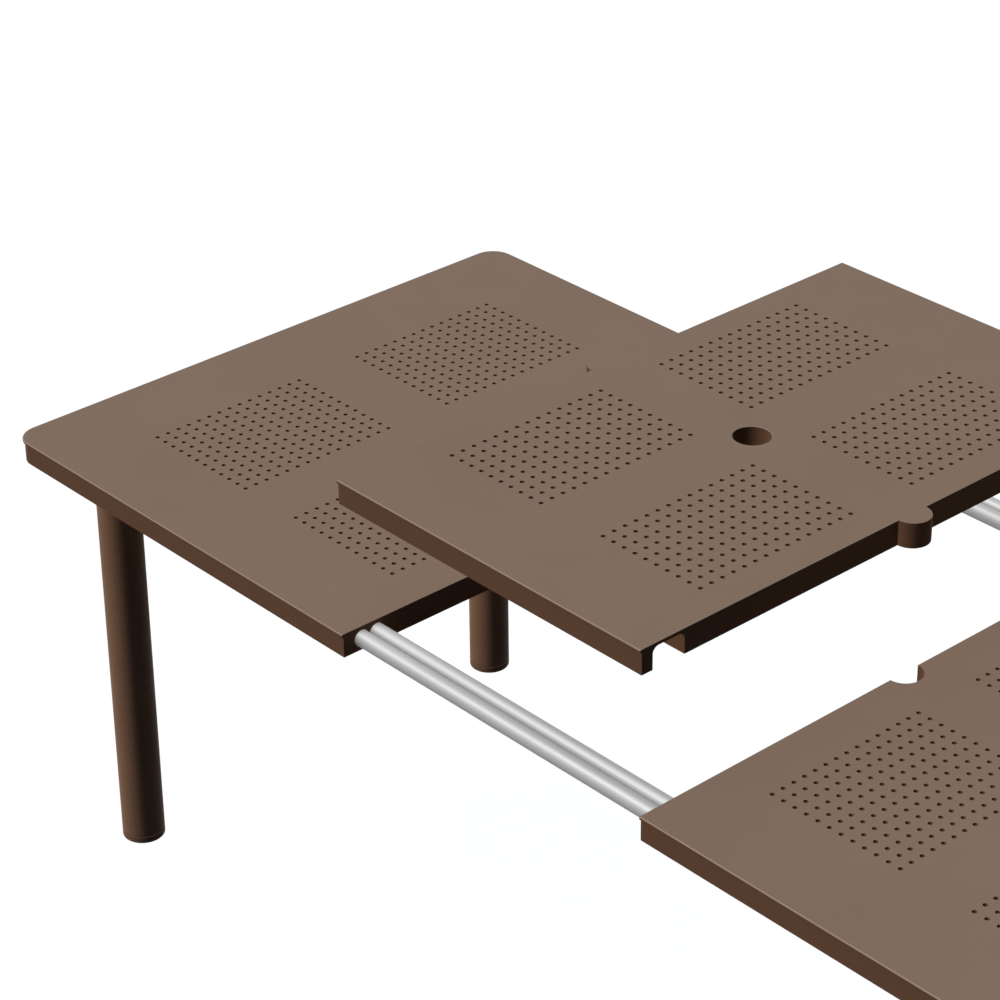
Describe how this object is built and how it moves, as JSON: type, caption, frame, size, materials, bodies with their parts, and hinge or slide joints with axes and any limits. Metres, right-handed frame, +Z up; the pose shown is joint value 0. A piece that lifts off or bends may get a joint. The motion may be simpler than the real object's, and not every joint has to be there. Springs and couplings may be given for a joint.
{
  "type": "extendable garden table",
  "caption": "Extendable garden table in brown moulded plastic, its halves drawn apart on twin tube rails and its loose leaf with a parasol hole held above the opening.",
  "frame": {"origin": "on the floor, under the middle of the opening between the two halves", "axes": "+X along the extension to the right half, +Y across the table to the back, +Z up"},
  "size_m": [2.194, 1, 0.998],
  "materials": {
    "moulded_top": "satin",
    "leg_metal": "satin",
    "rail_metal": "satin",
    "dark_plastic": "matte",
    "brown_plastic": "matte",
    "screw_steel": "brushed"
  },
  "bodies": {
    "left_half": {"left_top": "moulded_top", "left_front_leg": "leg_metal", "left_front_leg_socket": "dark_plastic", "left_front_foot_insert": "brown_plastic", "left_front_rail": "rail_metal", "left_front_rail_plug": "dark_plastic", "left_front_rail_glide": "dark_plastic", "left_front_inner_saddle": "dark_plastic", "left_front_outer_saddle": "dark_plastic", "left_back_leg": "leg_metal", "left_back_leg_socket": "dark_plastic", "left_back_foot_insert": "brown_plastic", "left_back_rail": "rail_metal", "left_back_rail_plug": "dark_plastic", "left_back_rail_glide": "dark_plastic", "left_back_inner_saddle": "dark_plastic", "left_back_outer_saddle": "dark_plastic", "left_saddle_screws": "screw_steel", "left_rail_screws": "screw_steel", "left_socket_screws": "screw_steel", "left_leg_screws": "screw_steel"},
    "right_half": {"right_top": "moulded_top", "right_front_leg": "leg_metal", "right_front_leg_socket": "dark_plastic", "right_front_foot_insert": "brown_plastic", "right_front_rail": "rail_metal", "right_front_rail_plug": "dark_plastic", "right_front_rail_glide": "dark_plastic", "right_front_inner_saddle": "dark_plastic", "right_front_outer_saddle": "dark_plastic", "right_back_leg": "leg_metal", "right_back_leg_socket": "dark_plastic", "right_back_foot_insert": "brown_plastic", "right_back_rail": "rail_metal", "right_back_rail_plug": "dark_plastic", "right_back_rail_glide": "dark_plastic", "right_back_inner_saddle": "dark_plastic", "right_back_outer_saddle": "dark_plastic", "right_saddle_screws": "screw_steel", "right_rail_screws": "screw_steel", "right_socket_screws": "screw_steel", "right_leg_screws": "screw_steel"},
    "leaf": {"leaf_top": "moulded_top"},
    "left_front_leveller": {"left_front_foot": "brown_plastic"},
    "left_back_leveller": {"left_back_foot": "brown_plastic"},
    "right_front_leveller": {"right_front_foot": "brown_plastic"},
    "right_back_leveller": {"right_back_foot": "brown_plastic"}
  },
  "joints": [
    {"name": "extension", "type": "slide", "parent": "left_half", "child": "right_half", "axis": [1, 0, 0], "range_m": [-0.593, 0.045]},
    {"name": "leaf_drop", "type": "slide", "parent": "left_half", "child": "leaf", "axis": [0, 0, -1], "range_m": [0, 0.248]},
    {"name": "left_front_levelling", "type": "slide", "parent": "left_half", "child": "left_front_leveller", "axis": [0, 0, -1], "range_m": [0, 0.012]},
    {"name": "left_back_levelling", "type": "slide", "parent": "left_half", "child": "left_back_leveller", "axis": [0, 0, -1], "range_m": [0, 0.012]},
    {"name": "right_front_levelling", "type": "slide", "parent": "right_half", "child": "right_front_leveller", "axis": [0, 0, -1], "range_m": [0, 0.012]},
    {"name": "right_back_levelling", "type": "slide", "parent": "right_half", "child": "right_back_leveller", "axis": [0, 0, -1], "range_m": [0, 0.012]}
  ]
}
